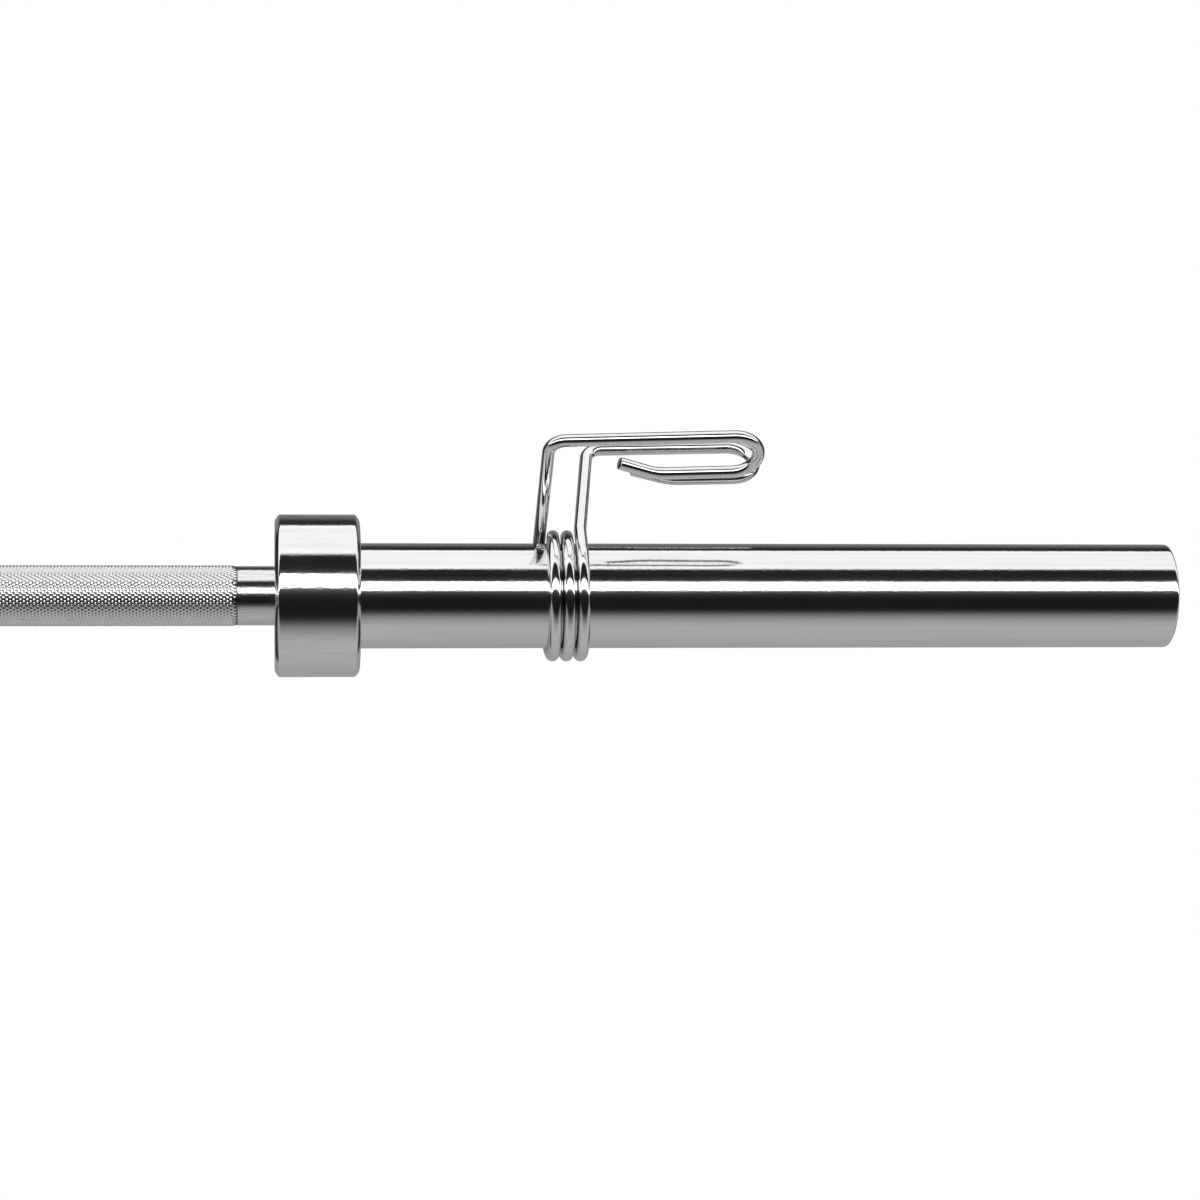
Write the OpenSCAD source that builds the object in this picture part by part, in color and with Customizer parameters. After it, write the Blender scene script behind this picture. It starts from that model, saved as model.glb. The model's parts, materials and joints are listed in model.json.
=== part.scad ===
// Olympic barbell: a knurled shaft, two revolving sleeves on bushings and two sprung wire clips.
// X runs along the bar with the origin at mid-length on its axis, and Z is up.
// The left end is the right end turned half a turn about Z, so both ends take the same pieces.

/* [Shaft] */
// Distance between the collars' inner faces
between_collars = 1310; // [1000:1:1400]
// Diameter of the smooth shaft
shaft_d = 28; // [27:0.1:30]
// Height of the knurl's crests above the smooth shaft
knurl_height = 0.4; // [0.2:0.05:0.8]
// Smooth stretch between a collar and the side knurl
collar_gap = 17; // [5:1:60]
// Distance from a collar to the inner end of the side knurl
side_knurl_reach = 445; // [300:1:500]
// Distance between the middles of the two grip marks
mark_spacing = 910; // [760:1:1000]
// Width of a grip mark, the smooth ring in the side knurl
mark_w = 5; // [2:0.5:12]
// Length of the centre knurl
centre_knurl_l = 120; // [60:1:300]
// Diameter of the journals that the sleeves turn on
journal_d = 25; // [20:0.1:26]

/* [Sleeve] */
// Outside diameter of the sleeve, which takes the plates
sleeve_d = 50; // [48:0.1:52]
// Length of sleeve outside the collar
sleeve_l = 392; // [300:1:450]
// Bore of the sleeve tube
sleeve_bore_d = 34; // [33:0.1:38]
// Edge rounding at the sleeve's outer end
sleeve_edge = 1.5; // [0.5:0.1:3]

/* [Collar] */
// Outside diameter of the collar
collar_d = 77; // [66:0.5:100]
// Width of the collar along the bar
collar_w = 40; // [25:0.5:60]
// Thickness of the collar's inner wall, which closes the sleeve tube
collar_web = 10; // [6:0.5:12]
// Edge rounding of the collar
collar_edge = 2.6; // [0.5:0.1:4]
// Chamfer at the mouth of the collar's seat for the tube
seat_chamfer = 0.8; // [0.3:0.1:1.5]

/* [Bearings] */
// Depth of the shaft's shoulder inside the sleeve tube
shoulder_depth = 3; // [1:0.5:8]
// Space between the outer bushing and the end cap
bushing_space = 3; // [1:0.5:20]
// Length of each bushing
bushing_l = 40; // [20:1:60]
// Radial clearance of a journal in its bushings
running_clearance = 0.05; // [0.02:0.01:0.09]
// Thickness of the thrust washer
thrust_washer_t = 1.5; // [1:0.1:3]
// Play of a sleeve along its journal
end_play = 0.3; // [0.2:0.05:0.6]
// Radial clearance of the shaft in the collar's wall
collar_clearance = 0.3; // [0.3:0.05:0.8]

/* [End fastening] */
// Thickness of the end cap
end_cap_t = 14; // [10.5:0.5:20]
// Diameter of the recess in the end cap
recess_d = 31; // [30:0.5:32]
// Depth of the recess in the end cap
recess_depth = 9; // [3:0.1:10]
// Thickness of the retaining washer
retaining_washer_t = 2.5; // [1.5:0.1:4]
// Thread diameter of the end bolt
bolt_d = 12; // [10:1:14]
// Length of the end bolt under its head
bolt_l = 35; // [25:1:60]
// Height of the bolt's head
bolt_head_h = 7.5; // [5:0.1:10]
// Width of the bolt's head across flats
bolt_flats = 19; // [17:0.5:22]
// Thickness of the split lock washer
lock_washer_t = 2.2; // [1.5:0.1:3]

/* [Spring clip] */
// Diameter of the clip's wire
wire_d = 6; // [4:0.1:7]
// Clearance of the coil round the sleeve
coil_clearance = 0.35; // [0.3:0.05:1]
// Gap between neighbouring turns of the coil
turn_gap = 0.72; // [0.5:0.01:4]
// Times that the coil's wire passes over the top of the sleeve
coil_tops = 2; // [1:1:4]
// Distance from the collar to the middle of the coil
clip_place = 97; // [60:0.5:250]
// Lean of each leg from upright, to the side away from where it starts
leg_lean = 49; // [35:1:55]
// Length of a leg up to the middle of its grip's wire
leg_l = 77; // [60:0.5:100]
// Straight length of the grip whose leg is nearer the collar
near_grip_l = 79; // [50:0.5:110]
// Straight length of the grip whose leg is further from the collar
far_grip_l = 62.5; // [40:0.5:100]
// Radius of the bend from a leg to its grip
corner_r = 8; // [6:0.5:14]
// Radius of the turn at a grip's outer end
grip_turn_r = 12; // [9:0.5:16]
// Length of the wire that runs back below the near grip
near_return_l = 30.5; // [15:0.5:50]
// Length of the wire that runs back below the far grip
far_return_l = 26; // [15:0.5:40]
// Radius of the soft bend before the wire's tip
tip_bend_r = 25; // [12:0.5:40]
// Length of the straight tip
tip_l = 14; // [5:0.5:30]

/* [Hidden] */
$fn = 96;

// Places along the right half of the bar, measured from its middle
collar_x = between_collars / 2;
plate_stop_x = collar_x + collar_w;
sleeve_end_x = plate_stop_x + sleeve_l;
tube_x = collar_x + collar_web;
shoulder_x = tube_x + shoulder_depth;
inner_bushing_x = shoulder_x + thrust_washer_t + end_play;
end_cap_x = sleeve_end_x - end_cap_t;
outer_bushing_x = end_cap_x - bushing_l - bushing_space;
recess_x = sleeve_end_x - recess_depth;
journal_end_x = recess_x + end_play;
lock_washer_x = journal_end_x + retaining_washer_t;
bolt_head_x = lock_washer_x + lock_washer_t;
clip_x = plate_stop_x + clip_place;
mark_x = mark_spacing / 2;

// Holes that only pass another piece
cap_hole_d = journal_d + 0.8;
washer_hole_d = bolt_d + 0.4;
recess_washer_d = recess_d - 1;
thrust_washer_d = sleeve_bore_d - 1;
tap_depth = bolt_l - retaining_washer_t - lock_washer_t + 4;
lock_washer_d = bolt_d + 9;
lock_washer_split = 1.2;
journal_chamfer = 1;

// The clip's coil starts at the front, goes down and round, and ends at the back
coil_r = sleeve_d / 2 + coil_clearance + wire_d / 2;
coil_from = 90 - leg_lean;
coil_to = 270 + 360 * coil_tops + leg_lean;
coil_middle = (coil_from + coil_to) / 2;
coil_pitch = wire_d + turn_gap;
coil_rings_per_turn = 30;
coil_steps = ceil((coil_to - coil_from) * coil_rings_per_turn / 360);
wire_sides = 8;
// The polygon of the wire's section has the area of its circle
wire_r = wire_d / 2 * sqrt(2 * PI / (wire_sides * sin(360 / wire_sides)));
// The turns lean a little on the sleeve: their fronts and their tops lie nearer the collar
turn_slope_y = 0.034;
turn_slope_z = -0.054;
// The last quarter turn before the near leg spreads, so that the leg clears the turn beside it
near_spread = 0.5;
spread_angle = 90;
// The far leg runs straight up for this length before it slants
far_straight = 15;
// Length of each slanting leg that belongs to the coil
leg_start = wire_d;
// The legs slant a little along the bar, outward where positive, and the grips rise a little outward
near_leg_slant = 0.3;
far_leg_slant = 7.2;
near_grip_rise = 2.4;
far_grip_rise = 2;
tip_angle = 24;

// Vectors
function unit(v) = v / norm(v);
function across(v, t) = unit(v - (v * t) * t);

// A round arc of points in a plane: centre, radius, first and last angle
function arc(centre, r, from, to, steps = 6) =
    [for (i = [0:steps]) centre + r * [cos(from + (to - from) * i / steps), sin(from + (to - from) * i / steps)]];

// Point of the coil's middle line at an angle counted from the top, towards the front
function coil_yz(angle) = coil_r * [-sin(angle), cos(angle)];
function coil_spread(angle) = near_spread * pow(max(0, 1 - (coil_to - angle) / spread_angle), 2);
function coil_x(angle) = coil_pitch * (coil_middle - angle) / 360 - coil_spread(angle);
function coil_point(angle) =
    let (yz = coil_yz(angle))
    [coil_x(angle) + turn_slope_y * yz[0] + turn_slope_z * yz[1], yz[0], yz[1]];
function coil_side(angle) = concat(0, coil_yz(angle));
function coil_angle(i) = coil_from + (coil_to - coil_from) * i / coil_steps;

// The near grip's plane leans to the front and the far grip's to the back
near_up = [0, -sin(leg_lean), cos(leg_lean)];
far_up = [0, sin(leg_lean), cos(leg_lean)];
near_knee = coil_point(coil_to);
far_foot = coil_point(coil_from);
far_knee = far_foot + far_straight * far_up;
near_leg_dir = [sin(near_leg_slant), 0, 0] + cos(near_leg_slant) * near_up;
far_leg_dir = [sin(far_leg_slant), 0, 0] + cos(far_leg_slant) * far_up;

// The coil with the start of a leg at each end
coil_path = concat(
    [far_knee + leg_start * far_leg_dir, far_knee],
    [for (i = [0:coil_steps]) coil_point(coil_angle(i))],
    [near_knee + leg_start * near_leg_dir]
);
coil_sides = concat(
    [coil_side(coil_from), coil_side(coil_from)],
    [for (i = [0:coil_steps]) coil_side(coil_angle(i))],
    [coil_side(coil_to)]
);

// Least gap of the clip's wire to itself, measured between points that lie over half a turn apart
gap_step = 3;
half_turn = 180 / gap_step;
leg_points = 60;
gap_points = concat(
    [for (i = [leg_points:-1:1]) far_knee + (leg_l - far_straight) * i / leg_points * far_leg_dir],
    [for (angle = [coil_from:gap_step:coil_to]) coil_point(angle)],
    [for (i = [1:leg_points]) near_knee + leg_l * i / leg_points * near_leg_dir]
);
gap_last = len(gap_points) - 1;
wire_gap = min([
    for (i = [0:gap_last - leg_points - half_turn])
        min([for (j = [max(i, leg_points) + half_turn:gap_last]) norm(gap_points[i] - gap_points[j])])
]) - wire_d;
echo(str("least gap of the clip's wire to itself: ", wire_gap, " mm"));

// A grip in its own plane, x along the bar and y up the leg: corner, run, end turn, return, soft bend and tip
function grip_outline(leg, slant, rise, run, return) =
    let (
        leg_dir = [sin(slant), cos(slant)],
        run_dir = [cos(rise), sin(rise)],
        run_up = [-sin(rise), cos(rise)],
        bend = 90 - slant - rise,
        corner_in = leg_dir * (leg - corner_r * tan(bend / 2)),
        corner_mid = corner_in + corner_r * [cos(slant), -sin(slant)],
        run_in = corner_mid + corner_r * run_up,
        run_out = run_in + run * run_dir,
        turn_mid = run_out - grip_turn_r * run_up,
        return_in = turn_mid - grip_turn_r * run_up,
        return_out = return_in - return * run_dir,
        bend_mid = return_out + tip_bend_r * run_up,
        tip_in = bend_mid + tip_bend_r * [cos(rise - 90 - tip_angle), sin(rise - 90 - tip_angle)],
        tip_dir = [cos(180 + rise - tip_angle), sin(180 + rise - tip_angle)]
    )
    concat(
        [leg_dir * leg_start],
        arc(corner_mid, corner_r, 180 - slant, 90 + rise),
        arc(turn_mid, grip_turn_r, 90 + rise, rise - 90, 12),
        arc(bend_mid, tip_bend_r, rise - 90, rise - 90 - tip_angle, 4),
        [tip_in + tip_l * tip_dir]
    );

// Lifts an outline into its leaning plane at the knee where its leg starts
function grip_path(knee, up, outline) = [for (p = outline) knee + [p[0], 0, 0] + p[1] * up];

// A closed tube along a path, with a ring at each point and the section's first side towards side[i]
module wire(path, side) {
    count = len(path);
    tangent = [
        for (i = [0:count - 1])
            unit(path[min(i + 1, count - 1)] - path[max(i - 1, 0)])
    ];
    rings = [
        for (i = [0:count - 1])
            let (
                n = across(side[i], tangent[i]),
                b = cross(tangent[i], n)
            )
            for (k = [0:wire_sides - 1])
                let (a = 360 * (k + 0.5) / wire_sides)
                path[i] + wire_r * (cos(a) * n + sin(a) * b)
    ];
    walls = [
        for (i = [0:count - 2])
            for (k = [0:wire_sides - 1])
                let (
                    next = (k + 1) % wire_sides,
                    low = i * wire_sides,
                    high = low + wire_sides
                )
                for (face = [[low + k, high + k, high + next], [low + k, high + next, low + next]])
                    face
    ];
    last = (count - 1) * wire_sides;
    first_cap = [for (k = [1:wire_sides - 2]) [0, k, k + 1]];
    last_cap = [for (k = [1:wire_sides - 2]) [last, last + k + 1, last + k]];
    polyhedron(rings, concat(walls, first_cap, last_cap), convexity = 8);
}

// Shapes along the bar
module rod(from, to, d) {
    translate([from, 0, 0]) rotate([0, 90, 0]) cylinder(h = to - from, d = d);
}

module ring(from, to, outer_d, inner_d) {
    difference() {
        rod(from, to, outer_d);
        rod(from - 1, to + 1, inner_d);
    }
}

module cone(from, to, d_from, d_to) {
    translate([from, 0, 0]) rotate([0, 90, 0]) cylinder(h = to - from, d1 = d_from, d2 = d_to);
}

// Turns an outline of [x, radius] points about the bar's axis
module turned(points) {
    rotate([0, 90, 0]) rotate_extrude() polygon([for (p = points) [p[1], p[0]]]);
}

// The left end is the right one turned about the vertical
module left() {
    rotate([0, 0, 180]) children();
}

// One half of the shaft, from the middle to its right end
module shaft_half() {
    rod(0, shoulder_x, shaft_d);
    rod(0, centre_knurl_l / 2, shaft_d + 2 * knurl_height);
    rod(collar_x - side_knurl_reach, mark_x - mark_w / 2, shaft_d + 2 * knurl_height);
    rod(mark_x + mark_w / 2, collar_x - collar_gap, shaft_d + 2 * knurl_height);
    rod(shoulder_x, journal_end_x - journal_chamfer, journal_d);
    cone(journal_end_x - journal_chamfer, journal_end_x, journal_d, journal_d - 2 * journal_chamfer);
}

module tapped_hole() {
    rod(journal_end_x - tap_depth, journal_end_x + 1, bolt_d);
}

module shaft() {
    color([0.75, 0.75, 0.76]) difference() {
        union() {
            shaft_half();
            left() shaft_half();
        }
        tapped_hole();
        left() tapped_hole();
    }
}

// Collar with a wall round the shaft and a seat for the sleeve tube
module collar() {
    outer_r = collar_d / 2;
    seat_r = sleeve_d / 2;
    hole_r = shaft_d / 2 + collar_clearance;
    inner_edge = arc([collar_x + collar_edge, outer_r - collar_edge], collar_edge, 180, 90);
    outer_edge = arc([plate_stop_x - collar_edge, outer_r - collar_edge], collar_edge, 90, 0);
    color([0.82, 0.82, 0.83]) turned(concat(
        [[tube_x, hole_r], [collar_x, hole_r]],
        inner_edge,
        outer_edge,
        [[plate_stop_x, seat_r + seat_chamfer], [plate_stop_x - seat_chamfer, seat_r], [tube_x, seat_r]]
    ));
}

// Sleeve tube from the collar's wall to the outer end
module sleeve_tube() {
    outer_r = sleeve_d / 2;
    bore_r = sleeve_bore_d / 2;
    end_edge = arc([sleeve_end_x - sleeve_edge, outer_r - sleeve_edge], sleeve_edge, 90, 0);
    color([0.86, 0.86, 0.87]) turned(concat(
        [[sleeve_end_x, bore_r], [tube_x, bore_r], [tube_x, outer_r]],
        end_edge
    ));
}

// A plain bushing, pressed into the tube, that runs on the journal
module bushing(from) {
    color([0.72, 0.5, 0.26]) ring(from, from + bushing_l, sleeve_bore_d, journal_d + 2 * running_clearance);
}

// Washer between the shaft's shoulder and the inner bushing
module thrust_washer() {
    color([0.72, 0.5, 0.26])
        ring(shoulder_x, shoulder_x + thrust_washer_t, thrust_washer_d, journal_d + 2 * running_clearance);
}

// Disc that closes the tube, with a hole for the journal and a recess for the retaining washer
module end_cap() {
    color([0.8, 0.8, 0.81]) difference() {
        rod(end_cap_x, sleeve_end_x, sleeve_bore_d);
        rod(end_cap_x - 1, sleeve_end_x + 1, cap_hole_d);
        rod(recess_x, sleeve_end_x + 1, recess_d);
    }
}

// Washer bolted to the shaft's end, which keeps the sleeve on
module retaining_washer() {
    color([0.7, 0.7, 0.71]) ring(journal_end_x, lock_washer_x, recess_washer_d, washer_hole_d);
}

// Split washer under the bolt's head
module lock_washer() {
    color([0.6, 0.6, 0.61]) difference() {
        ring(lock_washer_x, bolt_head_x, lock_washer_d, washer_hole_d);
        translate([lock_washer_x - 1, -lock_washer_split / 2, 0])
            cube([lock_washer_t + 2, lock_washer_split, lock_washer_d]);
    }
}

// Hexagon bolt in the end of the shaft
module end_bolt() {
    corners_d = bolt_flats / cos(30);
    head_end_x = bolt_head_x + bolt_head_h;
    face_d = 0.95 * bolt_flats;
    color([0.66, 0.66, 0.67]) union() {
        rod(bolt_head_x - bolt_l, bolt_head_x, bolt_d);
        intersection() {
            translate([bolt_head_x, 0, 0]) rotate([0, 90, 0]) cylinder(h = bolt_head_h, d = corners_d, $fn = 6);
            cone(bolt_head_x, head_end_x, face_d + 2 * bolt_head_h / tan(30), face_d);
        }
    }
}

// The clip's coil round the sleeve
module clip_coil() {
    color([0.78, 0.78, 0.79]) translate([clip_x, 0, 0]) wire(coil_path, coil_sides);
}

// A grip of the clip: its leg, its run along the bar and the wire's return to its tip
module clip_grip(path, up) {
    plane_side = cross([1, 0, 0], up);
    color([0.8, 0.8, 0.81]) translate([clip_x, 0, 0]) wire(path, [for (p = path) plane_side]);
}

module clip_near_grip() {
    outline = grip_outline(leg_l, near_leg_slant, near_grip_rise, near_grip_l, near_return_l);
    clip_grip(grip_path(near_knee, near_up, outline), near_up);
}

module clip_far_grip() {
    outline = grip_outline(leg_l - far_straight, far_leg_slant, far_grip_rise, far_grip_l, far_return_l);
    clip_grip(grip_path(far_knee, far_up, outline), far_up);
}

shaft();
collar();  // collar_right
sleeve_tube();  // sleeve_tube_right
bushing(inner_bushing_x);  // inner_bushing_right
bushing(outer_bushing_x);  // outer_bushing_right
end_cap();  // end_cap_right
thrust_washer();  // thrust_washer_right
retaining_washer();  // retaining_washer_right
lock_washer();  // lock_washer_right
end_bolt();  // end_bolt_right
clip_coil();  // clip_coil_right
clip_near_grip();  // clip_near_grip_right
clip_far_grip();  // clip_far_grip_right
left() collar();  // collar_left
left() sleeve_tube();  // sleeve_tube_left
left() bushing(inner_bushing_x);  // inner_bushing_left
left() bushing(outer_bushing_x);  // outer_bushing_left
left() end_cap();  // end_cap_left
left() thrust_washer();  // thrust_washer_left
left() retaining_washer();  // retaining_washer_left
left() lock_washer();  // lock_washer_left
left() end_bolt();  // end_bolt_left
left() clip_coil();  // clip_coil_left
left() clip_near_grip();  // clip_near_grip_left
left() clip_far_grip();  // clip_far_grip_left
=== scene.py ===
# Barbell with 50 mm sleeves: chromed shaft with diamond knurls, turning sleeves and sprung wire clips
import json
import math

import bmesh
import bpy
from mathutils import Matrix, Vector


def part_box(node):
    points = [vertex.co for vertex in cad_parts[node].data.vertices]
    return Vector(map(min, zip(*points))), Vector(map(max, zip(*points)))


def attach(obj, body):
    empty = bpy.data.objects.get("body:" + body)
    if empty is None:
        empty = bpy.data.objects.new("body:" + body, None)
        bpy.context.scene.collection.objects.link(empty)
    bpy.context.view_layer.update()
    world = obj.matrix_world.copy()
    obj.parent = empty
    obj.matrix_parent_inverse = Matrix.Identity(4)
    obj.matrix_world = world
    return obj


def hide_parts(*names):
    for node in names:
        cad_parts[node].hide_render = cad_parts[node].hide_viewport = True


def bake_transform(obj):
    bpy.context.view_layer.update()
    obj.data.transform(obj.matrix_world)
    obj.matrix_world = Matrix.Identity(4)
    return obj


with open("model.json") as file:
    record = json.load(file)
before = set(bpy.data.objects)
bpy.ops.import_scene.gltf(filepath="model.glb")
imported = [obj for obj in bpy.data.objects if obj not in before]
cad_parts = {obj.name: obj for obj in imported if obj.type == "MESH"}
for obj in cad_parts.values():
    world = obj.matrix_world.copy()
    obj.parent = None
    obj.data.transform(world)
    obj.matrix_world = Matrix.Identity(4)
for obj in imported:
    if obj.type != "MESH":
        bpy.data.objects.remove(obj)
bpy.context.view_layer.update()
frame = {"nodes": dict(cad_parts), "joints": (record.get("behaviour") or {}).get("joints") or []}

mm = 0.001      # every length below is written in millimetres times this
tiny = 1e-7     # points that are nearer than this, in metres, are one
scene = bpy.context.scene
scene.view_settings.view_transform = "Standard"


class Signal:   # a socket that can be added, subtracted, multiplied and divided
    def __init__(self, graph, socket):
        self.graph = graph
        self.socket = socket

    def maths(self, operation, first, second):
        return self.graph.node("Math", {"operation": operation}, {0: first, 1: second})

    def __add__(self, other):
        return self.maths("ADD", self, other)

    def __radd__(self, other):
        return self.maths("ADD", other, self)

    def __sub__(self, other):
        return self.maths("SUBTRACT", self, other)

    def __rsub__(self, other):
        return self.maths("SUBTRACT", other, self)

    def __mul__(self, other):
        return self.maths("MULTIPLY", self, other)

    def __rmul__(self, other):
        return self.maths("MULTIPLY", other, self)

    def __truediv__(self, other):
        return self.maths("DIVIDE", self, other)

    def __rtruediv__(self, other):
        return self.maths("DIVIDE", other, self)

    def __abs__(self):
        return self.graph.node("Math", {"operation": "ABSOLUTE"}, {0: self})


class Graph:    # the nodes of one material or world
    def __init__(self, owner):
        owner.use_nodes = True
        self.tree = owner.node_tree
        self.tree.nodes.clear()

    def node(self, kind, settings=None, sockets=None, out=0):
        node = self.tree.nodes.new("ShaderNode" + kind)
        for name, value in (settings or {}).items():
            if name == "stops":
                self.setStops(node.color_ramp, value)
            else:
                setattr(node, name, value)
        for key, value in (sockets or {}).items():
            if isinstance(value, Signal):
                self.tree.links.new(value.socket, node.inputs[key])
            else:
                node.inputs[key].default_value = value
        return Signal(self, node.outputs[out]) if len(node.outputs) else None

    def setStops(self, ramp, stops):
        while len(ramp.elements) > 1:
            ramp.elements.remove(ramp.elements[-1])
        ramp.elements[0].position = stops[0][0]
        ramp.elements[0].color = stops[0][1]
        for position, colour in stops[1:]:
            ramp.elements.new(position).color = colour

    def noise(self, place, scale, detail=2.0, roughness=0.5):
        return self.node("TexNoise", {}, {
            "Vector": place, "Scale": scale, "Detail": detail, "Roughness": roughness})

    def stretched(self, place, scale):
        return self.node("Mapping", {}, {"Vector": place, "Scale": scale})

    def mixColours(self, factor, first, second):
        return self.node("Mix", {"data_type": "RGBA"}, {0: factor, 6: first, 7: second}, 2)

    def step(self, value, low, high):
        return self.node("MapRange", {"interpolation_type": "SMOOTHSTEP"}, {
            "Value": value, "From Min": low, "From Max": high})


def grey(level, warm=0.0):
    return (level * (1 + warm), level, level * (1 - warm), 1.0)


def nodeReach(node):    # where a CAD node starts and ends along the bar, and its reach below the axis
    low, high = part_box(node)
    return [round(length / mm, 1) for length in (low.x, high.x, -low.z)]


cameraValues = {
    "place": (0.65057, -1.500, 0.0),
    "turn": 6.06,       # degrees towards the sleeve's end
    "tilt": -0.0765,    # degrees, a hair downwards
    "lens": 94.63,
    "sensor": 36.0,
    "clip": (0.01, 100),
}


def makeCamera(values):
    data = bpy.data.cameras.new("camera")
    data.sensor_fit = "HORIZONTAL"
    data.sensor_width = values["sensor"]
    data.lens = values["lens"]
    data.clip_start, data.clip_end = values["clip"]
    camera = bpy.data.objects.new("camera", data)
    camera.location = values["place"]
    camera.rotation_euler = (math.radians(90 + values["tilt"]), 0, math.radians(-values["turn"]))
    scene.collection.objects.link(camera)
    scene.camera = camera
    print("camera made")


studioValues = {
    # each stop is an angle round the bar in degrees, a brightness and a warmth
    # 0 is level towards the front, 90 straight up and 180 level at the back
    "front": [
        (-102, 0.52, 0.010), (-77, 0.535, 0.010), (-66, 0.505, 0.012), (-56, 0.415, 0.018),
        (-46, 0.26, 0.018), (-37, 0.08, 0.01), (-32, 0.027, 0.0), (-26, 0.013, 0.0),
        (-8, 0.013, -0.02), (2, 0.028, -0.04), (9, 0.10, -0.04), (11.7, 0.35, 0.0),
        (12.7, 3.4, 0.0), (29.4, 3.4, 0.0), (31.2, 0.08, -0.06), (37, 0.030, -0.08),
    ],
    "middleBelow": [(-180, 0.33, 0.02), (-126, 0.465, 0.012)],
    "middleAbove": [
        (46, 0.020, -0.06), (59.4, 0.022, -0.06), (62.4, 1.38, 0.0), (75, 1.19, -0.008),
        (84, 1.25, -0.006), (100, 1.25, -0.006), (107, 1.17, -0.012), (111, 1.25, 0.0),
        (117.5, 1.45, 0.0), (119.5, 0.03, 0.0), (132, 0.032, 0.0), (143, 0.15, 0.0),
        (162, 0.26, 0.0), (180, 0.30, 0.0),
    ],
    "sidesBelow": [(-180, 0.03, 0.0), (-150, 0.03, 0.0), (-138, 0.22, 0.0), (-122, 0.42, 0.012)],
    "sidesAbove": [
        (59.4, 0.022, -0.06), (62.4, 1.38, 0.0), (84, 1.25, -0.006), (117.5, 1.25, 0.0),
        (119.5, 0.03, 0.0), (142, 0.03, 0.0), (180, 0.03, 0.0),
    ],
    # how far a direction points along the bar, from -1 to 1, says which stops light it
    "middleAt": 0.06, "middleReach": 0.62,      # where the middle stops do, and how far to each side
    "middleSoft": 0.04,     # half of the change from the middle to the sides
    "endEdges": (0.984, 0.992), "endGrey": 0.28,    # what the bar's end faces see
    "background": 1.0,      # what the camera sees, 1 is white
}


def makeStudio(values):
    world = bpy.data.worlds.new("studio")
    scene.world = world
    graph = Graph(world)
    direction = graph.node("TexCoord", {}, {}, "Generated")
    split = graph.node("SeparateXYZ", {}, {"Vector": direction}).socket.node
    along, back, up = (Signal(graph, split.outputs[name]) for name in ("X", "Y", "Z"))
    around = graph.node("Math", {"operation": "ARCTAN2"}, {0: up, 1: back * -1.0})
    turn = around / (2 * math.pi) + 0.5     # 0 to 1 once round the bar
    lit = []
    for part in ("middle", "sides"):
        levels = values[part + "Below"] + values["front"] + values[part + "Above"]
        stops = [((angle + 180) / 360, grey(level, warm)) for angle, level, warm in levels]
        lit.append(graph.node("ValToRGB", {"stops": stops}, {"Fac": turn}))
    near = values["middleReach"] - values["middleSoft"]
    far = values["middleReach"] + values["middleSoft"]
    sideways = graph.step(abs(along - values["middleAt"]), near, far)
    endways = graph.step(abs(along), *values["endEdges"])
    seen = graph.mixColours(sideways, lit[0], lit[1])
    seen = graph.mixColours(endways, seen, grey(values["endGrey"]))
    lights = graph.node("Background", {}, {"Color": seen, "Strength": 1.0})
    white = graph.node("Background", {}, {"Color": grey(1.0), "Strength": values["background"]})
    camera = graph.node("LightPath", {}, {}, "Is Camera Ray")
    both = graph.node("MixShader", {}, {0: camera, 1: lights, 2: white})
    graph.node("OutputWorld", {}, {"Surface": both})
    print("studio light made")


floorValues = {
    "height": -0.9, "front": -1.2, "back": 3.0, "reach": 5.0,   # in metres
    "squares": 8, "paint": 0.62, "darker": 0.97, "clouds": 1.5,
    "lift": 0.62,   # what the camera sees on top of the paint
}


def makeFloor(values):
    bm = bmesh.new()
    bmesh.ops.create_grid(bm, x_segments=values["squares"], y_segments=values["squares"], size=1.0)
    middle = (values["front"] + values["back"]) / 2
    depth = (values["back"] - values["front"]) / 2
    bmesh.ops.scale(bm, vec=(values["reach"], depth, 1), verts=bm.verts)
    bmesh.ops.translate(bm, vec=(0, middle, values["height"]), verts=bm.verts)
    mesh = bpy.data.meshes.new("floor")
    bm.to_mesh(mesh)
    bm.free()
    material, graph, place = newFinish("paleFloor")
    cloud = graph.noise(place, values["clouds"], detail=3.0)
    paint = graph.mixColours(cloud, grey(values["paint"] * values["darker"]), grey(values["paint"]))
    matt = graph.node("BsdfDiffuse", {}, {"Color": paint})
    lift = graph.node("Emission", {}, {"Color": grey(1.0), "Strength": values["lift"]})
    pale = graph.node("AddShader", {}, {0: matt, 1: lift})
    camera = graph.node("LightPath", {}, {}, "Is Camera Ray")
    both = graph.node("MixShader", {}, {0: camera, 1: matt, 2: pale})
    graph.node("OutputMaterial", {}, {"Surface": both})
    mesh.materials.append(material)
    floor = bpy.data.objects.new("floor", mesh)
    scene.collection.objects.link(floor)
    floor.visible_glossy = False    # chrome sees the studio's own grey below it
    print("floor made")


def newFinish(name):
    material = bpy.data.materials.new(name)
    graph = Graph(material)
    return material, graph, graph.node("TexCoord", {}, {}, "Object")


def coatMetal(graph, tone, roughness, height):
    bump = graph.node("Bump", {}, {"Strength": 1.0, "Distance": 1.0, "Height": height})
    shader = graph.node("BsdfPrincipled", {}, {
        "Base Color": tone, "Metallic": 1.0, "Roughness": roughness, "Normal": bump})
    graph.node("OutputMaterial", {}, {"Surface": shader})


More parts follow.
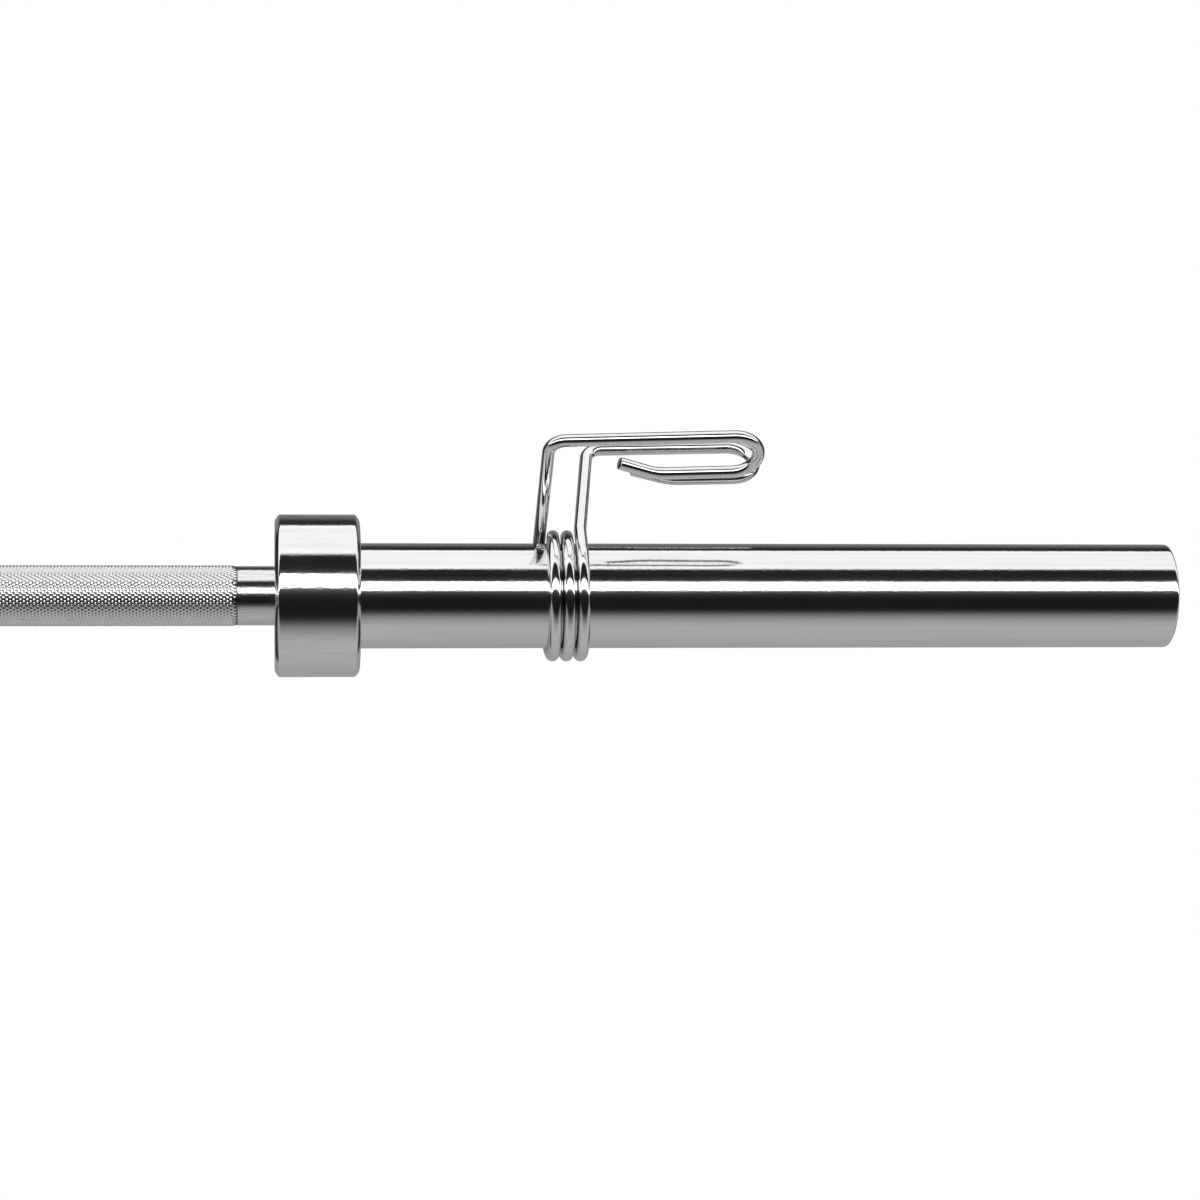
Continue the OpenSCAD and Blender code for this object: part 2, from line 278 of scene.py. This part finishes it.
chromeValues = {    # peel and grain are each a scale and a height in metres
    "shaftChrome": {
        "colour": 0.72, "deep": 0.62, "warm": 0.004, "roughness": 0.11, "smudge": 0.05,
        "peel": (1300, 0.0000450), "grain": (3600, 0.0000020), "streaks": (30, 900, 900),
    },
    "sleeveChrome": {
        "colour": 0.73, "deep": 0.69, "warm": 0.006, "roughness": 0.06, "smudge": 0.03,
        "peel": (1000, 0.0000220), "grain": (3200, 0.0000010), "streaks": (14, 420, 420),
    },
    "collarChrome": {
        "colour": 0.74, "deep": 0.70, "warm": 0.000, "roughness": 0.06, "smudge": 0.03,
        "peel": (1000, 0.0000240), "grain": (3200, 0.0000010), "streaks": (60, 500, 500),
    },
    "wireChrome": {
        "colour": 0.74, "deep": 0.71, "warm": 0.008, "roughness": 0.05, "smudge": 0.02,
        "peel": (500, 0.0000020), "grain": (2600, 0.0000004), "streaks": (300, 300, 300),
    },
}
wearValues = {"streakEdges": (0.35, 0.65), "clouds": 26.0, "cloudEdges": (0.45, 0.75), "grainShare": 0.5}


def chromeFinish(name, look, wear):
    material, graph, place = newFinish(name)
    streaks = graph.noise(graph.stretched(place, look["streaks"]), 1.0, detail=3.0, roughness=0.6)
    clouds = graph.noise(place, wear["clouds"], detail=3.0, roughness=0.6)
    peel = graph.noise(place, look["peel"][0])
    grain = graph.noise(place, look["grain"][0], roughness=0.6)
    tone = graph.mixColours(graph.step(streaks, *wear["streakEdges"]), grey(look["deep"], look["warm"]),
                            grey(look["colour"], look["warm"]))
    smudges = look["smudge"] * graph.step(clouds, *wear["cloudEdges"])
    roughness = look["roughness"] + smudges + look["roughness"] * wear["grainShare"] * grain
    coatMetal(graph, tone, roughness, peel * look["peel"][1] + grain * look["grain"][1])
    return material


knurlFinishValues = {
    "edges": (13.85 * mm, 14.00 * mm),      # radii between which the valleys' painted shade and dirt turns into the crests' worn look
    # the valley colour is painted shade and dirt in the grooves; the crest colour is wear
    "valley": 0.22, "valleyWarm": 0.02, "valleyRoughness": 0.20,
    "crest": 0.86, "crestWarm": 0.005, "crestRoughness": 0.07,
    "bright": 0.75, "cloudy": 0.5,          # how bright a crest is, and how much the clouds add
    "clouds": (300.0, 0.0000100), "grain": (2400.0, 0.0000030), "grainRoughness": 0.06,
}


def knurlFinish(look):
    material, graph, place = newFinish("knurlChrome")
    flat = graph.node("VectorMath", {"operation": "MULTIPLY"}, {0: place, 1: (0, 1, 1)})
    radius = graph.node("VectorMath", {"operation": "LENGTH"}, {0: flat}, "Value")
    crest = graph.step(radius, *look["edges"])
    clouds = graph.noise(place, look["clouds"][0], detail=3.0, roughness=0.6)
    grain = graph.noise(place, look["grain"][0], roughness=0.6)
    # mixes from the painted shade and dirt in the valleys to the worn crests
    crestWearAndValleyShade = crest * (look["bright"] + look["cloudy"] * clouds)
    tone = graph.mixColours(crestWearAndValleyShade, grey(look["valley"], look["valleyWarm"]),
                            grey(look["crest"], look["crestWarm"]))
    smoother = (look["valleyRoughness"] - look["crestRoughness"]) * crest
    roughness = look["valleyRoughness"] - smoother + look["grainRoughness"] * grain
    coatMetal(graph, tone, roughness, grain * look["grain"][1] + clouds * look["clouds"][1])
    return material


zincValues = {
    "clouds": 240.0, "cloudEdges": (0.35, 0.7), "grain": 1800.0, "rings": 900.0, "waver": 1.5,
    "dark": (0.50, 0.51, 0.53, 1), "pale": (0.66, 0.66, 0.65, 1),
    "roughness": 0.24, "cloudRoughness": 0.16, "height": 0.000003,
}


def zincFinish(look):
    material, graph, place = newFinish("zincSteel")
    clouds = graph.noise(place, look["clouds"], detail=4.0, roughness=0.6)
    grain = graph.noise(place, look["grain"], roughness=0.6)
    rings = graph.node("TexWave", {"wave_type": "RINGS", "rings_direction": "X"}, {
        "Vector": place, "Scale": look["rings"], "Distortion": look["waver"], "Detail": 2.0})
    tone = graph.mixColours(graph.step(clouds, *look["cloudEdges"]), look["dark"], look["pale"])
    coatMetal(graph, tone, look["roughness"] + look["cloudRoughness"] * clouds,
              rings * look["height"] + grain * look["height"])
    return material


bronzeValues = {
    "clouds": 160.0, "cloudEdges": (0.3, 0.7), "pores": 2200.0, "poreEdges": (0.35, 0.5),
    "dark": (0.42, 0.25, 0.10, 1), "pale": (0.66, 0.44, 0.20, 1),
    "roughness": 0.28, "poreRoughness": 0.2, "height": 0.000008,
}


def bronzeFinish(look):
    material, graph, place = newFinish("oiledBronze")
    clouds = graph.noise(place, look["clouds"], detail=4.0, roughness=0.65)
    pores = graph.noise(place, look["pores"], detail=3.0, roughness=0.7)
    tone = graph.mixColours(graph.step(clouds, *look["cloudEdges"]), look["dark"], look["pale"])
    coatMetal(graph, tone, look["roughness"] + look["poreRoughness"] * pores,
              graph.step(pores, *look["poreEdges"]) * look["height"])
    return material


halfTurn = Matrix.Rotation(math.pi, 4, "Z")     # the left end is the right one turned about the vertical


def finishMesh(name, bm, material, sharp=32):
    bmesh.ops.recalc_face_normals(bm, faces=bm.faces)
    mesh = bpy.data.meshes.new(name)
    bm.to_mesh(mesh)
    bm.free()
    mesh.polygons.foreach_set("use_smooth", [True] * len(mesh.polygons))
    mesh.set_sharp_from_angle(angle=math.radians(sharp))
    mesh.materials.append(material)
    return mesh


def addPiece(name, mesh, nodes=()):
    piece = bpy.data.objects.new(name, mesh)
    scene.collection.objects.link(piece)
    if nodes:
        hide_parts(*nodes)
    return piece


def meshAt(mesh, side):
    if side == "right":
        return mesh
    turned = mesh.copy()
    turned.transform(halfTurn)
    return turned


def bothEnds(name, mesh, body, node):
    for side in ("right", "left"):
        piece = addPiece(name + "_" + side, meshAt(mesh, side), [node + "_" + side])
        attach(piece, body if body == "shaft_body" else body + "_" + side)


def roundCorners(bm, corners, radius, segments):
    bmesh.ops.bevel(bm, geom=corners, offset=radius * mm, offset_type="OFFSET", segments=segments,
                    profile=0.5, affect="VERTICES", material=-1)


def cutAcross(bm, place, normal, clearOuter=False):
    return bmesh.ops.bisect_plane(bm, geom=bm.verts[:] + bm.edges[:] + bm.faces[:], dist=tiny,
                                  plane_co=place, plane_no=normal, clear_outer=clearOuter)["geom_cut"]


def turnSection(points, rounded=(), rings=(), steps=160):
    # points are (place along the bar, radius) round the cut section
    # rounded gives corners by number with their radii, and rings the places of added edge loops
    bm = bmesh.new()
    corners = [bm.verts.new((x * mm, 0, r * mm)) for x, r in points]
    bm.faces.new(corners)
    for number, radius in rounded:
        roundCorners(bm, [corners[number]], radius, 6)
    bmesh.ops.delete(bm, geom=bm.faces[:], context="FACES_ONLY")
    onAxis = [e for e in bm.edges if max(abs(v.co.z) for v in e.verts) < tiny]
    bmesh.ops.delete(bm, geom=onAxis, context="EDGES")
    bmesh.ops.spin(bm, geom=bm.verts[:] + bm.edges[:], cent=(0, 0, 0), axis=(1, 0, 0), dvec=(0, 0, 0),
                   angle=2 * math.pi, steps=steps, use_merge=True)
    bmesh.ops.remove_doubles(bm, verts=bm.verts, dist=tiny)
    for x in rings:
        cutAcross(bm, (x * mm, 0, 0), (1, 0, 0))
    return bm


shaftValues = {
    "radius": 14.0, "core": 13.55, "journal": 12.5, "chamfer": 1.0, "hole": 6.0, "holeDepth": 34.3,
    "stepFrom": 0.2, "stepTo": 0.45,    # the slope of the shallow step under each knurl's ends
    "bands": {
        "knurl_centre": (-60, 60),
        "knurl_right_inner": (210, 452.5), "knurl_right_outer": (457.5, 638),
        "knurl_left_inner": (-452.5, -210), "knurl_left_outer": (-638, -457.5),
    },
    "rings": (60.6, 209.4, 453.1, 456.9, 638.6, 667.0),     # edge loops that keep the shading even
}


def makeShaft(values, material):
    radius, core, journal, hole = (values[name] for name in ("radius", "core", "journal", "hole"))
    end = nodeReach("shaft")[1]
    shoulder = nodeReach("thrust_washer_right")[0]
    holeEnd = end - values["holeDepth"]
    rightEnd = [(shoulder, radius), (shoulder, journal), (end - values["chamfer"], journal),
                (end, journal - values["chamfer"]), (end, hole), (holeEnd, hole), (holeEnd, 0)]
    outline = [(-x, r) for x, r in reversed(rightEnd)]
    for start, stop in sorted(values["bands"].values()):
        outline += [(start + values["stepFrom"], radius), (start + values["stepTo"], core),
                    (stop - values["stepTo"], core), (stop - values["stepFrom"], radius)]
    rings = [side * x for x in values["rings"] for side in (1, -1)]
    bm = turnSection(outline + rightEnd, rings=rings, steps=128)
    piece = addPiece("shaft_core", finishMesh("shaft_core", bm, material), ["shaft"])
    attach(piece, "shaft_body")
    print("shaft turned")


knurlValues = {
    "crest": 14.90, "endCrest": 14.30, "valley": 13.75, "saddle": 13.90,    # radii
    "around": 96, "step": 1.565,    # crests round the shaft, and from one row to the next along it
    "flat": 52,     # the crest's cut in percent
    "edge": 0.2, "sharp": 150,
    "turnDown": (0.985, 0.95), "turnDownStep": 0.2,     # the ends turn down into the shaft
}


def makeKnurl(name, start, end, values, material):
    rows = round((end - start - 2 * values["edge"]) / values["step"])
    first = start + values["edge"]
    step = (end - start - 2 * values["edge"]) / rows

    def rowAndColumn(v):
        return (v.co.x / mm - first) / step, math.atan2(v.co.y, v.co.z) / (2 * math.pi) * values["around"]

    bm = bmesh.new()
    line = [bm.verts.new((x * mm, 0, values["valley"] * mm)) for x in (first, end - values["edge"])]
    bm.edges.new(line)
    bmesh.ops.subdivide_edges(bm, edges=bm.edges[:], cuts=rows - 1)
    bmesh.ops.spin(bm, geom=bm.verts[:] + bm.edges[:], cent=(0, 0, 0), axis=(1, 0, 0), dvec=(0, 0, 0),
                   angle=2 * math.pi, steps=values["around"], use_merge=True)
    bmesh.ops.remove_doubles(bm, verts=bm.verts, dist=tiny)
    crossings = []
    for v in bm.verts:
        row, column = (round(n) for n in rowAndColumn(v))
        if (row + column) % 2 == 0 or row in (0, rows):
            crossings.append(v)
    bmesh.ops.connect_verts(bm, verts=crossings)    # a groove along each quad's low diagonal
    shallow = []    # the grooves that climb to the right are rolled less deep
    for e in bm.edges:
        a, b = (v.co for v in e.verts)
        climb = (b.x - a.x) * (a.y * b.z - a.z * b.y)
        if climb < -1e-12:      # an edge straight along or straight round has none, but for rounding
            shallow.append(e)
    bmesh.ops.subdivide_edges(bm, edges=shallow, cuts=1)
    crests = []
    for v in bm.verts:
        row, column = rowAndColumn(v)
        radius = values["valley"]
        if abs(row - round(row)) > 0.25:    # half-way along a shallow groove
            radius = values["saddle"]
        elif (round(row) + round(column)) % 2 and 0 < round(row) < rows:
            radius = values["crest"] if 1 < round(row) < rows - 1 else values["endCrest"]
            crests.append(v)
        v.co.yz = v.co.yz.normalized() * radius * mm
    bmesh.ops.bevel(bm, geom=crests, offset=values["flat"], offset_type="PERCENT", segments=1,
                    profile=0.5, affect="VERTICES", material=-1)
    rims = [e for e in bm.edges if e.is_boundary]
    for inward in values["turnDown"]:
        grown = bmesh.ops.extrude_edge_only(bm, edges=rims)["geom"]
        rims = [e for e in grown if isinstance(e, bmesh.types.BMEdge)]
        for v in {v for e in rims for v in e.verts}:
            side = 1 if v.co.x / mm > (start + end) / 2 else -1
            v.co.x += side * values["turnDownStep"] * mm
            v.co.yz = v.co.yz * inward
    mesh = finishMesh(name, bm, material, values["sharp"])
    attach(addPiece(name, mesh), "shaft_body")
    print(name, "rolled,", len(mesh.polygons), "faces")


collarValues = {
    "slant": 2.0, "slantFall": 2.7,     # both rims are turned off at a slant
    "footRound": 0.9, "browRound": 0.7, "holeRound": 0.5,   # at the slant's lower and upper end
    "hole": 14.3, "seatChamfer": 0.8, "ringGap": 0.8,
}


def makeCollars(values, material):
    start, end, radius = nodeReach("collar_right")
    seatX, seat = nodeReach("sleeve_tube_right")[0::2]
    hole, slant, chamfer = values["hole"], values["slant"], values["seatChamfer"]
    low = radius - values["slantFall"]
    foot, brow = values["footRound"], values["browRound"]
    outline = [(start, hole), (start, low), (start + slant, radius), (end - slant, radius), (end, low),
               (end, seat + chamfer), (end - chamfer, seat), (seatX, seat), (seatX, hole)]
    bm = turnSection(outline, steps=192,
                     rounded=[(1, foot), (2, brow), (3, brow), (4, foot), (0, values["holeRound"])],
                     rings=(start + slant + values["ringGap"], end - slant - values["ringGap"]))
    bothEnds("collar_ring", finishMesh("collar", bm, material), "sleeve_body", "collar")
    print("collars turned")


sleeveValues = {"edge": 1.5, "boreEdge": 0.4, "ringGap": 0.4, "innerRing": 700.0}


def makeSleeves(values, material):
    start, end, radius = nodeReach("sleeve_tube_right")
    bore = nodeReach("end_cap_right")[2]
    outline = [(start, bore), (start, radius), (end, radius), (end, bore)]
    bm = turnSection(outline, rounded=[(2, values["edge"]), (3, values["boreEdge"])],
                     rings=(end - values["edge"] - values["ringGap"], values["innerRing"]))
    bothEnds("sleeve", finishMesh("sleeve", bm, material), "sleeve_body", "sleeve_tube")
    print("sleeves turned")


discValues = {"hole": 12.9, "recess": 15.5, "recessDepth": 9.0, "edge": 0.4, "recessEdge": 0.25}


def makeDiscs(values, material):
    start, end, radius = nodeReach("end_cap_right")
    recessX = end - values["recessDepth"]
    outline = [(start, values["hole"]), (start, radius), (end, radius), (end, values["recess"]),
               (recessX, values["recess"]), (recessX, values["hole"])]
    bm = turnSection(outline, rounded=[(2, values["edge"]), (3, values["recessEdge"])], steps=128)
    bothEnds("end_disc", finishMesh("end_disc", bm, material), "sleeve_body", "end_cap")
    print("end discs turned")


washerValues = {
    "hole": 6.2, "edge": 0.35, "holeEdge": 0.3,
    "split": 1.2, "splitEdge": 0.25,    # the split washer's gap and its broken edges
}


def makeWashers(values, material):
    start, end, radius = nodeReach("retaining_washer_right")
    hole = values["hole"]
    bm = turnSection([(start, hole), (start, radius), (end, radius), (end, hole)], steps=96,
                     rounded=[(1, values["edge"]), (2, values["edge"]), (3, values["holeEdge"])])
    mesh = finishMesh("end_washer", bm, material)
    bothEnds("end_washer", mesh, "shaft_body", "retaining_washer")

    start, end, radius = nodeReach("lock_washer_right")
    bm = bmesh.new()    # the split washer is a square wire bent round, open at the top
    bm.faces.new([bm.verts.new((x * mm, 0, r * mm)) for x, r in (
        (start, hole), (start, radius), (end, radius), (end, hole))])
    roundCorners(bm, bm.verts[:], values["splitEdge"], 2)
    gap = values["split"] / (radius + hole)
    bmesh.ops.rotate(bm, verts=bm.verts, cent=(0, 0, 0), matrix=Matrix.Rotation(gap, 3, "X"))
    bmesh.ops.spin(bm, geom=bm.verts[:] + bm.edges[:] + bm.faces[:], cent=(0, 0, 0), axis=(1, 0, 0),
                   dvec=(0, 0, 0), angle=2 * math.pi - 2 * gap, steps=64)
    bmesh.ops.remove_doubles(bm, verts=bm.verts, dist=tiny)
    mesh = finishMesh("spring_washer", bm, material)
    bothEnds("spring_washer", mesh, "shaft_body", "lock_washer")
    print("washers made")


boltValues = {
    "radius": 6.0, "chamfer": 0.8,
    "flats": 19.0, "faceShare": 0.475,      # across the flats, and the top face's radius as a share
    "slope": 30.0,      # degrees that the head's top slopes down to its corners
}


def makeBolts(values, material):
    start, top = nodeReach("end_bolt_right")[:2]
    seat = nodeReach("lock_washer_right")[1]
    radius, chamfer = values["radius"], values["chamfer"]
    faceR = values["faceShare"] * values["flats"]
    rim = faceR + (top - seat) / math.tan(math.radians(values["slope"]))
    bm = turnSection([(start, 0), (start, radius - chamfer), (start + chamfer, radius), (seat, radius),
                      (seat, rim), (top, faceR), (top, 0)], steps=96)
    for side in range(6):       # six flats cut on the turned head
        turn = math.radians(60 * side + 30)
        away = Vector((0, math.sin(turn), math.cos(turn)))
        cut = cutAcross(bm, away * values["flats"] / 2 * mm, away, clearOuter=True)
        bmesh.ops.edgeloop_fill(bm, edges=[e for e in cut if isinstance(e, bmesh.types.BMEdge)])
    bmesh.ops.remove_doubles(bm, verts=bm.verts, dist=tiny)
    bothEnds("hex_bolt", finishMesh("hex_bolt", bm, material), "shaft_body", "end_bolt")
    print("bolts made")


clipValues = {
    "wire": 3.0,    # the wire's radius
    "clearance": 0.35, "turnGap": 0.72,     # from the coil to the sleeve, and from turn to turn
    "wholeTurns": 2, "lean": 49.0,          # the legs lean this many degrees from upright
    "slopeY": 0.034, "slopeZ": -0.054,      # the coil sits a little slanted on the sleeve
    "spread": 0.5, "spreadAngle": 90.0,     # its last quarter turn makes room for the near leg
    "near": {"leg": 77.0, "slant": 0.3, "rise": 2.4, "run": 79.0, "back": 30.5},
    "far": {"leg": 62.0, "slant": 7.2, "rise": 2.0, "run": 62.5, "back": 26.0},
    "farStraight": 15.0, "cornerR": 8.0, "turnR": 12.0, "tipBendR": 25.0, "tipAngle": 24.0, "tip": 14.0,
    "cutEdge": 0.5,
    "nearBlend": (-7.3, 1.1), "farBlend": (-1.5, 5.1),      # places along the bar, from the coil's middle, for a blend into each leg's motion; they are worked out but not used
    "coilStep": 3.75, "cornerSteps": 14, "turnSteps": 28, "tipSteps": 10, "roundness": 8,
}
clipHinge = next(joint for joint in frame["joints"] if joint["name"] == "near_grip_squeeze_right")
clipValues.update({
    "place": round(clipHinge["pos_m"][0] / mm, 2),      # the coil's middle along the bar
    "coilR": nodeReach("sleeve_tube_right")[2] + clipValues["clearance"] + clipValues["wire"],
    "pitch": 2 * clipValues["wire"] + clipValues["turnGap"],
    # the coil's first and last angle, in degrees from the top towards the front
    "from": 90 - clipValues["lean"],
    "to": 270 + 360 * clipValues["wholeTurns"] + clipValues["lean"],
})


def onCoil(values, angle):      # a point on the wire's middle line
    y = -values["coilR"] * math.sin(math.radians(angle))
    z = values["coilR"] * math.cos(math.radians(angle))
    middle = (values["from"] + values["to"]) / 2
    spread = values["spread"] * max(0, 1 - (values["to"] - angle) / values["spreadAngle"]) ** 2
    x = values["pitch"] * (middle - angle) / 360 - spread + values["slopeY"] * y + values["slopeZ"] * z
    return Vector((x, y, z))


def arcPoints(centre, radius, start, end, steps):
    angles = [math.radians(start + (end - start) * i / steps) for i in range(steps + 1)]
    return [(centre[0] + radius * math.cos(a), centre[1] + radius * math.sin(a)) for a in angles]


def gripOutline(values, grip):
    # in the grip's own plane, x along the bar and y up the leg
    # the parts are the leg, corner, run, end turn, return, soft bend and tip
    slant, rise = math.radians(grip["slant"]), math.radians(grip["rise"])
    legDir = Vector((math.sin(slant), math.cos(slant)))
    runDir = Vector((math.cos(rise), math.sin(rise)))
    runUp = Vector((-math.sin(rise), math.cos(rise)))
    cornerR, turnR, bendR = values["cornerR"], values["turnR"], values["tipBendR"]
    bend = math.pi / 2 - slant - rise
    cornerIn = legDir * (grip["leg"] - cornerR * math.tan(bend / 2))
    cornerMid = cornerIn + cornerR * Vector((math.cos(slant), -math.sin(slant)))
    runOut = cornerMid + cornerR * runUp + grip["run"] * runDir
    turnMid = runOut - turnR * runUp
    backOut = turnMid - turnR * runUp - grip["back"] * runDir
    bendMid = backOut + bendR * runUp
    high, low = 90 + grip["rise"], grip["rise"] - 90
    tipBend = arcPoints(bendMid, bendR, low, low - values["tipAngle"], values["tipSteps"])
    tipWay = math.radians(180 + grip["rise"] - values["tipAngle"])
    tipEnd = Vector(tipBend[-1]) + values["tip"] * Vector((math.cos(tipWay), math.sin(tipWay)))
    points = [(0.0, 0.0), (legDir * grip["leg"] / 2)[:]]
    points += arcPoints(cornerMid, cornerR, 180 - grip["slant"], high, values["cornerSteps"])
    points += arcPoints(turnMid, turnR, high, low, values["turnSteps"])
    return points + tipBend + [tipEnd[:]]


def gripPath(values, side):
    lean = math.radians(values["lean"])
    if side == "near":
        up = Vector((0, -math.sin(lean), math.cos(lean)))
        knee = onCoil(values, values["to"])
        path = []
    else:
        up = Vector((0, math.sin(lean), math.cos(lean)))
        foot = onCoil(values, values["from"])
        knee = foot + values["farStraight"] * up
        path = [foot]
    return path + [knee + Vector((x, 0, 0)) + y * up for x, y in gripOutline(values, values[side])]


def coilPath(values, start, end):
    steps = round(abs(end - start) / values["coilStep"])
    return [onCoil(values, start + (end - start) * i / steps) for i in range(steps + 1)]


def wireMesh(name, path, values, material, cutEnd):
    shift = Vector((values["place"], 0, 0))
    places = [(point + shift) * mm for point in path]
    curve = bpy.data.curves.new(name, "CURVE")
    curve.dimensions = "3D"
    curve.bevel_depth = values["wire"] * mm
    curve.bevel_resolution = values["roundness"]
    curve.fill_mode = "FULL"
    spline = curve.splines.new("POLY")
    spline.points.add(len(places) - 1)
    for point, place in zip(spline.points, places):
        point.co = (*place, 1)
    drawn = bpy.data.objects.new(name, curve)
    scene.collection.objects.link(drawn)
    bpy.context.view_layer.update()
    tube = bpy.data.meshes.new_from_object(drawn.evaluated_get(bpy.context.evaluated_depsgraph_get()))
    bpy.data.objects.remove(drawn)
    bpy.data.curves.remove(curve)
    bm = bmesh.new()
    bm.from_mesh(tube)
    bpy.data.meshes.remove(tube)
    bmesh.ops.remove_doubles(bm, verts=bm.verts, dist=tiny)
    caps = bmesh.ops.holes_fill(bm, edges=[e for e in bm.edges if e.is_boundary], sides=0)["faces"]
    if cutEnd:      # the wire's cut end has its burr taken off
        cap = min(caps, key=lambda f: (f.calc_center_median() - places[-1]).length)
        bmesh.ops.bevel(bm, geom=cap.edges[:], offset=values["cutEdge"] * mm, offset_type="OFFSET",
                        segments=3, profile=0.5, affect="EDGES", material=-1)
    return finishMesh(name, bm, material)


def makeCoils(values, material):    # each coil is made in two halves that meet at its middle
    middle = (values["from"] + values["to"]) / 2
    for shape, start, bodies, blend in (
            ("coil_near_half", values["to"], ("near_grip_body_", "clip_body_"), values["nearBlend"]),
            ("coil_far_half", values["from"], ("clip_body_", "far_grip_body_"), values["farBlend"])):
        mesh = wireMesh(shape, coilPath(values, start, middle), values, material, cutEnd=False)
        for side, way in (("right", 1), ("left", -1)):
            piece = addPiece(shape + "_" + side, meshAt(mesh, side), ["clip_coil_" + side])
            first, last = ((way * (values["place"] + x) * mm, 0, 0) for x in blend)
            [body + side for body in bodies]
            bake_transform(piece)
    print("coils wound")


def makeGrips(values, material):
    for grip in ("near", "far"):
        mesh = wireMesh(grip + "_grip_wire", gripPath(values, grip), values, material, cutEnd=True)
        bothEnds(grip + "_grip_wire", mesh, grip + "_grip_body", "clip_" + grip + "_grip")
    print("grips bent")


makeCamera(cameraValues)
makeStudio(studioValues)
makeFloor(floorValues)

finishes = {name: chromeFinish(name, look, wearValues) for name, look in chromeValues.items()}
knurlChrome = knurlFinish(knurlFinishValues)
zincSteel = zincFinish(zincValues)
oiledBronze = bronzeFinish(bronzeValues)
print("finishes mixed")

makeShaft(shaftValues, finishes["shaftChrome"])
for bandName, (bandStart, bandEnd) in shaftValues["bands"].items():
    makeKnurl(bandName, bandStart, bandEnd, knurlValues, knurlChrome)
makeCollars(collarValues, finishes["collarChrome"])
makeSleeves(sleeveValues, finishes["sleeveChrome"])
makeDiscs(discValues, finishes["collarChrome"])
makeWashers(washerValues, zincSteel)
makeBolts(boltValues, zincSteel)
makeCoils(clipValues, finishes["wireChrome"])
makeGrips(clipValues, finishes["wireChrome"])

for node in frame["nodes"]:     # the bushings and thrust washers keep their turned CAD shapes
    if "bushing" in node or "thrust" in node:
        solid = bpy.data.objects[node]
        solid.data.materials.clear()
        solid.data.materials.append(oiledBronze)
print("bushings and thrust washers finished")
